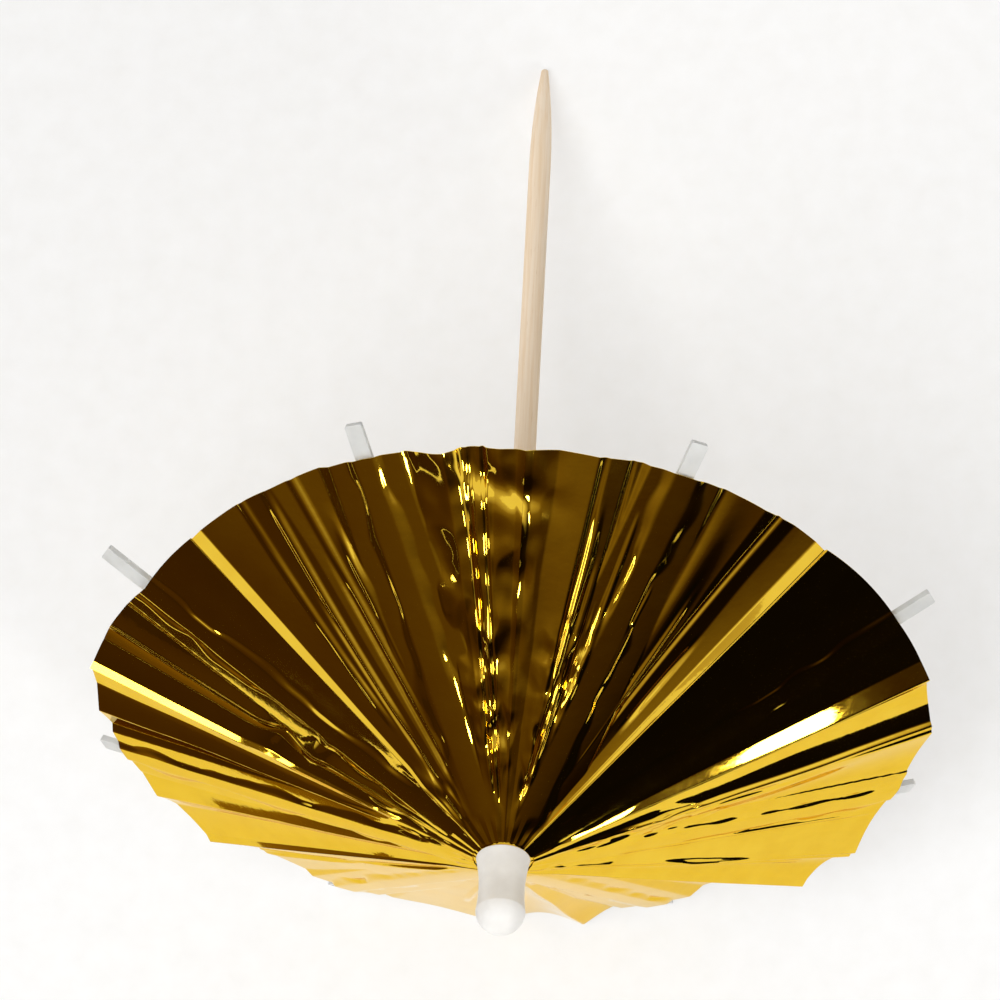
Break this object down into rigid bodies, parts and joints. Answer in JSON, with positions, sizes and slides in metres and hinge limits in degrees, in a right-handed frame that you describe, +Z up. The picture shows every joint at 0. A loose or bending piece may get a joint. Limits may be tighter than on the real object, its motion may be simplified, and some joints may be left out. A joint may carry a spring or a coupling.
{
  "type": "cocktail umbrella pick",
  "caption": "Small folding parasol on a pointed wooden pick: a pleated gold film canopy on hinged ribs, with struts and a sliding runner under it and a cap on its crown.",
  "frame": {"origin": "on the table, under the middle of the space that the umbrella covers as it lies on its pick's point and two rib ends", "axes": "+Z up from the table, +Y towards the pick's point, X across the canopy, about which it is symmetric"},
  "size_m": [0.082, 0.0922, 0.0731],
  "materials": {
    "birch": "bare sanded birch",
    "cap_plastic": "white moulded polypropylene",
    "hub_plastic": "white moulded polypropylene",
    "sleeve_paper": "rolled plain paper",
    "rib_plastic": "translucent natural polypropylene",
    "gold_film": "gold metallised film, mirror bright and creased"
  },
  "bodies": {
    "root": {"pick": "birch", "crown_cap": "cap_plastic", "crown_hub": "hub_plastic", "spacer_sleeve": "sleeve_paper"},
    "runner": {"runner": "hub_plastic"},
    "retaining_ring": {"retaining_ring": "hub_plastic"},
    "rib_1": {"rib_1": "rib_plastic", "canopy_gore_1": "gold_film"},
    "strut_1": {"strut_1": "rib_plastic"},
    "rib_2": {"rib_2": "rib_plastic", "canopy_gore_2": "gold_film"},
    "strut_2": {"strut_2": "rib_plastic"},
    "rib_3": {"rib_3": "rib_plastic", "canopy_gore_3": "gold_film"},
    "strut_3": {"strut_3": "rib_plastic"},
    "rib_4": {"rib_4": "rib_plastic", "canopy_gore_4": "gold_film"},
    "strut_4": {"strut_4": "rib_plastic"},
    "rib_5": {"rib_5": "rib_plastic", "canopy_gore_5": "gold_film"},
    "strut_5": {"strut_5": "rib_plastic"},
    "rib_6": {"rib_6": "rib_plastic", "canopy_gore_6": "gold_film"},
    "strut_6": {"strut_6": "rib_plastic"},
    "rib_7": {"rib_7": "rib_plastic", "canopy_gore_7": "gold_film"},
    "strut_7": {"strut_7": "rib_plastic"},
    "rib_8": {"rib_8": "rib_plastic", "canopy_gore_8": "gold_film"},
    "strut_8": {"strut_8": "rib_plastic"}
  },
  "joints": [
    {"name": "runner_slide", "type": "slide", "parent": "root", "child": "runner", "axis": [0, 0.8779, -0.4789], "range_m": [0, 0.0189]},
    {"name": "ring_slide", "type": "slide", "parent": "root", "child": "retaining_ring", "axis": [0, 0.8779, -0.4789], "range_m": [0, 0.01891]},
    {"name": "rib_1_fold", "type": "hinge", "parent": "root", "child": "rib_1", "pos_m": [0.00305, -0.03587, 0.04634], "axis": [-0.3827, 0.4424, 0.8111], "range_deg": [0, 56.01], "deforming": ["canopy_gore_1"]},
    {"name": "strut_1_fold", "type": "hinge", "parent": "rib_1", "child": "strut_1", "pos_m": [0.01773, -0.02554, 0.04763], "axis": [-0.3827, 0.4424, 0.8111], "range_deg": [-112.01, 0]},
    {"name": "rib_2_fold", "type": "hinge", "parent": "root", "child": "rib_2", "pos_m": [0.00126, -0.03502, 0.04791], "axis": [-0.9239, 0.1833, 0.336], "range_deg": [0, 56.01], "deforming": ["canopy_gore_2"]},
    {"name": "strut_2_fold", "type": "hinge", "parent": "rib_2", "child": "strut_2", "pos_m": [0.00734, -0.02057, 0.05675], "axis": [-0.9239, 0.1833, 0.336], "range_deg": [-112.01, 0]},
    {"name": "rib_3_fold", "type": "hinge", "parent": "root", "child": "rib_3", "pos_m": [-0.00126, -0.03502, 0.04791], "axis": [-0.9239, -0.1833, -0.336], "range_deg": [0, 56.01], "deforming": ["canopy_gore_3"]},
    {"name": "strut_3_fold", "type": "hinge", "parent": "rib_3", "child": "strut_3", "pos_m": [-0.00734, -0.02057, 0.05675], "axis": [-0.9239, -0.1833, -0.336], "range_deg": [-112.01, 0]},
    {"name": "rib_4_fold", "type": "hinge", "parent": "root", "child": "rib_4", "pos_m": [-0.00305, -0.03587, 0.04634], "axis": [-0.3827, -0.4424, -0.8111], "range_deg": [0, 56.01], "deforming": ["canopy_gore_4"]},
    {"name": "strut_4_fold", "type": "hinge", "parent": "rib_4", "child": "strut_4", "pos_m": [-0.01773, -0.02554, 0.04763], "axis": [-0.3827, -0.4424, -0.8111], "range_deg": [-112.01, 0]},
    {"name": "rib_5_fold", "type": "hinge", "parent": "root", "child": "rib_5", "pos_m": [-0.00305, -0.03708, 0.04412], "axis": [0.3827, -0.4424, -0.8111], "range_deg": [0, 56.01], "deforming": ["canopy_gore_5"]},
    {"name": "strut_5_fold", "type": "hinge", "parent": "rib_5", "child": "strut_5", "pos_m": [-0.01773, -0.03258, 0.03474], "axis": [0.3827, -0.4424, -0.8111], "range_deg": [-112.01, 0]},
    {"name": "rib_6_fold", "type": "hinge", "parent": "root", "child": "rib_6", "pos_m": [-0.00126, -0.03794, 0.04256], "axis": [0.9239, -0.1833, -0.336], "range_deg": [0, 56.01], "deforming": ["canopy_gore_6"]},
    {"name": "strut_6_fold", "type": "hinge", "parent": "rib_6", "child": "strut_6", "pos_m": [-0.00734, -0.03755, 0.02562], "axis": [0.9239, -0.1833, -0.336], "range_deg": [-112.01, 0]},
    {"name": "rib_7_fold", "type": "hinge", "parent": "root", "child": "rib_7", "pos_m": [0.00126, -0.03794, 0.04256], "axis": [0.9239, 0.1833, 0.336], "range_deg": [0, 56.01], "deforming": ["canopy_gore_7"]},
    {"name": "strut_7_fold", "type": "hinge", "parent": "rib_7", "child": "strut_7", "pos_m": [0.00734, -0.03755, 0.02562], "axis": [0.9239, 0.1833, 0.336], "range_deg": [-112.01, 0]},
    {"name": "rib_8_fold", "type": "hinge", "parent": "root", "child": "rib_8", "pos_m": [0.00305, -0.03708, 0.04412], "axis": [0.3827, 0.4424, 0.8111], "range_deg": [0, 56.01], "deforming": ["canopy_gore_8"]},
    {"name": "strut_8_fold", "type": "hinge", "parent": "rib_8", "child": "strut_8", "pos_m": [0.01773, -0.03258, 0.03474], "axis": [0.3827, 0.4424, 0.8111], "range_deg": [-112.01, 0]}
  ],
  "couplings": [
    {"joint": "ring_slide", "follows": "runner_slide", "ratio": 1},
    {"joint": "rib_1_fold", "follows": "runner_slide", "rad_per_m": 51.708},
    {"joint": "strut_1_fold", "follows": "runner_slide", "rad_per_m": -103.42},
    {"joint": "rib_2_fold", "follows": "runner_slide", "rad_per_m": 51.708},
    {"joint": "strut_2_fold", "follows": "runner_slide", "rad_per_m": -103.42},
    {"joint": "rib_3_fold", "follows": "runner_slide", "rad_per_m": 51.708},
    {"joint": "strut_3_fold", "follows": "runner_slide", "rad_per_m": -103.42},
    {"joint": "rib_4_fold", "follows": "runner_slide", "rad_per_m": 51.708},
    {"joint": "strut_4_fold", "follows": "runner_slide", "rad_per_m": -103.42},
    {"joint": "rib_5_fold", "follows": "runner_slide", "rad_per_m": 51.708},
    {"joint": "strut_5_fold", "follows": "runner_slide", "rad_per_m": -103.42},
    {"joint": "rib_6_fold", "follows": "runner_slide", "rad_per_m": 51.708},
    {"joint": "strut_6_fold", "follows": "runner_slide", "rad_per_m": -103.42},
    {"joint": "rib_7_fold", "follows": "runner_slide", "rad_per_m": 51.708},
    {"joint": "strut_7_fold", "follows": "runner_slide", "rad_per_m": -103.42},
    {"joint": "rib_8_fold", "follows": "runner_slide", "rad_per_m": 51.708},
    {"joint": "strut_8_fold", "follows": "runner_slide", "rad_per_m": -103.42}
  ]
}
